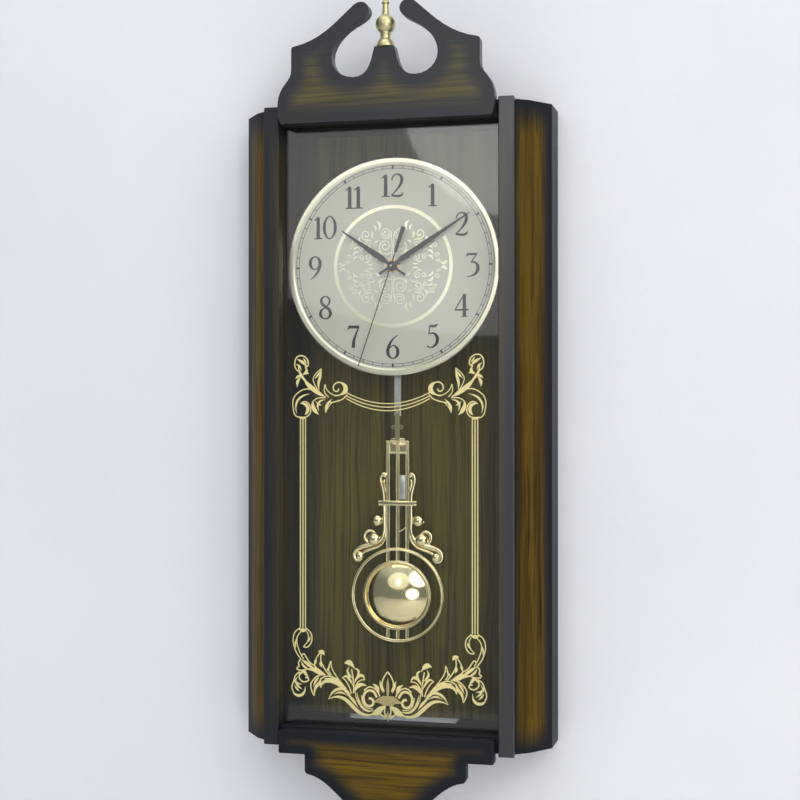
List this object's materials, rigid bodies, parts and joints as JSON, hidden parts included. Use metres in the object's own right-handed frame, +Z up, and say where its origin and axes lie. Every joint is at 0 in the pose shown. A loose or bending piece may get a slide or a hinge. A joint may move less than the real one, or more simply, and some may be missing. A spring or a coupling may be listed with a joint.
{
  "type": "wall clock",
  "caption": "Pendulum wall clock in a glazed wooden case with angled wings, swan-neck pediment, shaped apron, round numbered dial and gilt pendulum.",
  "frame": {"origin": "centre of the keyhole hanger's entry hole, on the wall plane behind the clock", "axes": "+X to the right as seen from the front, +Y towards the wall, +Z up"},
  "size_m": [0.276, 0.0791, 0.7085],
  "materials": {
    "wood_stained": "satin lacquer, dark edges fading to olive brown",
    "wood_raw": "matt",
    "gilt_matt": "satin",
    "glass": "clear, gloss",
    "steel": "bright",
    "dial_silver": "satin, champagne silver",
    "rim_gold": "satin gold",
    "black_plastic": "matt",
    "brass": "turned",
    "battery_skin": "gloss film",
    "board_green": "satin",
    "white_plastic": "satin",
    "copper_wire": "enamelled",
    "core_steel": "satin",
    "magnet_grey": "satin",
    "hand_black": "satin",
    "gilt_polished": "polished plating"
  },
  "bodies": {
    "case": {"left_side_board": "wood_stained", "right_side_board": "wood_stained", "top_board": "wood_stained", "bottom_board": "wood_stained", "case_dowels": "wood_raw", "left_wing": "wood_stained", "right_wing": "wood_stained", "wing_caps": "wood_raw", "pediment": "wood_stained", "apron": "wood_stained", "finial": "gilt_matt", "glass_pane": "glass", "back_panel": "wood_stained", "panel_screws": "steel", "hanger_plate": "steel", "hanger_screws": "steel", "dial_plate": "dial_silver", "dial_rim": "rim_gold", "dial_posts": "black_plastic", "post_screws": "steel", "movement_case": "black_plastic", "movement_cover": "black_plastic", "cover_screws": "steel", "centre_bush": "brass", "fixing_washer": "steel", "fixing_nut": "brass", "battery": "battery_skin", "battery_contacts": "steel", "circuit_board": "board_green", "motor_bobbin": "white_plastic", "motor_winding": "copper_wire", "stator": "core_steel", "drive_bobbin": "white_plastic", "drive_winding": "copper_wire", "pivot_clip": "steel"},
    "hour": {"hour_wheel": "white_plastic", "hour_hand": "hand_black"},
    "minute": {"minute_wheel": "white_plastic", "minute_hand": "hand_black"},
    "second": {"second_wheel": "white_plastic", "second_hand": "hand_black"},
    "third": {"third_wheel": "white_plastic"},
    "setting": {"setting_wheel": "white_plastic", "set_knob": "white_plastic"},
    "intermediate": {"intermediate_wheel": "white_plastic"},
    "rotor": {"rotor_pinion": "white_plastic", "rotor_magnet": "magnet_grey"},
    "pendulum": {"pendulum_arm": "black_plastic", "pendulum_magnet": "magnet_grey", "pendulum_rod": "steel", "pendulum_hook": "gilt_polished", "pendulum_lyre": "gilt_polished", "pendulum_ring": "gilt_polished", "bob_back": "gilt_polished", "pendulum_bob": "gilt_polished", "bob_bezel": "gilt_polished"}
  },
  "joints": [
    {"name": "second_spin", "type": "hinge", "parent": "case", "child": "second", "pos_m": [0, 0, -0.072], "axis": [0, 1, 0], "continuous": true},
    {"name": "minute_spin", "type": "hinge", "parent": "case", "child": "minute", "pos_m": [0, 0, -0.072], "axis": [0, 1, 0], "continuous": true},
    {"name": "hour_spin", "type": "hinge", "parent": "case", "child": "hour", "pos_m": [0, 0, -0.072], "axis": [0, 1, 0], "continuous": true},
    {"name": "third_spin", "type": "hinge", "parent": "case", "child": "third", "pos_m": [-0.01212, 0, -0.079], "axis": [0, 1, 0], "continuous": true},
    {"name": "setting_spin", "type": "hinge", "parent": "case", "child": "setting", "pos_m": [0.01256, 0, -0.07925], "axis": [0, 1, 0], "continuous": true},
    {"name": "intermediate_spin", "type": "hinge", "parent": "case", "child": "intermediate", "pos_m": [0, 0, -0.058], "axis": [0, 1, 0], "continuous": true},
    {"name": "rotor_spin", "type": "hinge", "parent": "case", "child": "rotor", "pos_m": [0.00789, 0, -0.05513], "axis": [0, 1, 0], "continuous": true},
    {"name": "pendulum_swing", "type": "hinge", "parent": "case", "child": "pendulum", "pos_m": [0, 0, -0.092], "axis": [0, 1, 0], "range_deg": [-6, 6]}
  ],
  "couplings": [
    {"joint": "minute_spin", "follows": "second_spin", "ratio": 0.016667},
    {"joint": "hour_spin", "follows": "second_spin", "ratio": 0.0013889},
    {"joint": "third_spin", "follows": "second_spin", "ratio": -0.13333},
    {"joint": "setting_spin", "follows": "second_spin", "ratio": -0.0055556},
    {"joint": "intermediate_spin", "follows": "second_spin", "ratio": -6},
    {"joint": "rotor_spin", "follows": "second_spin", "ratio": 30}
  ]
}
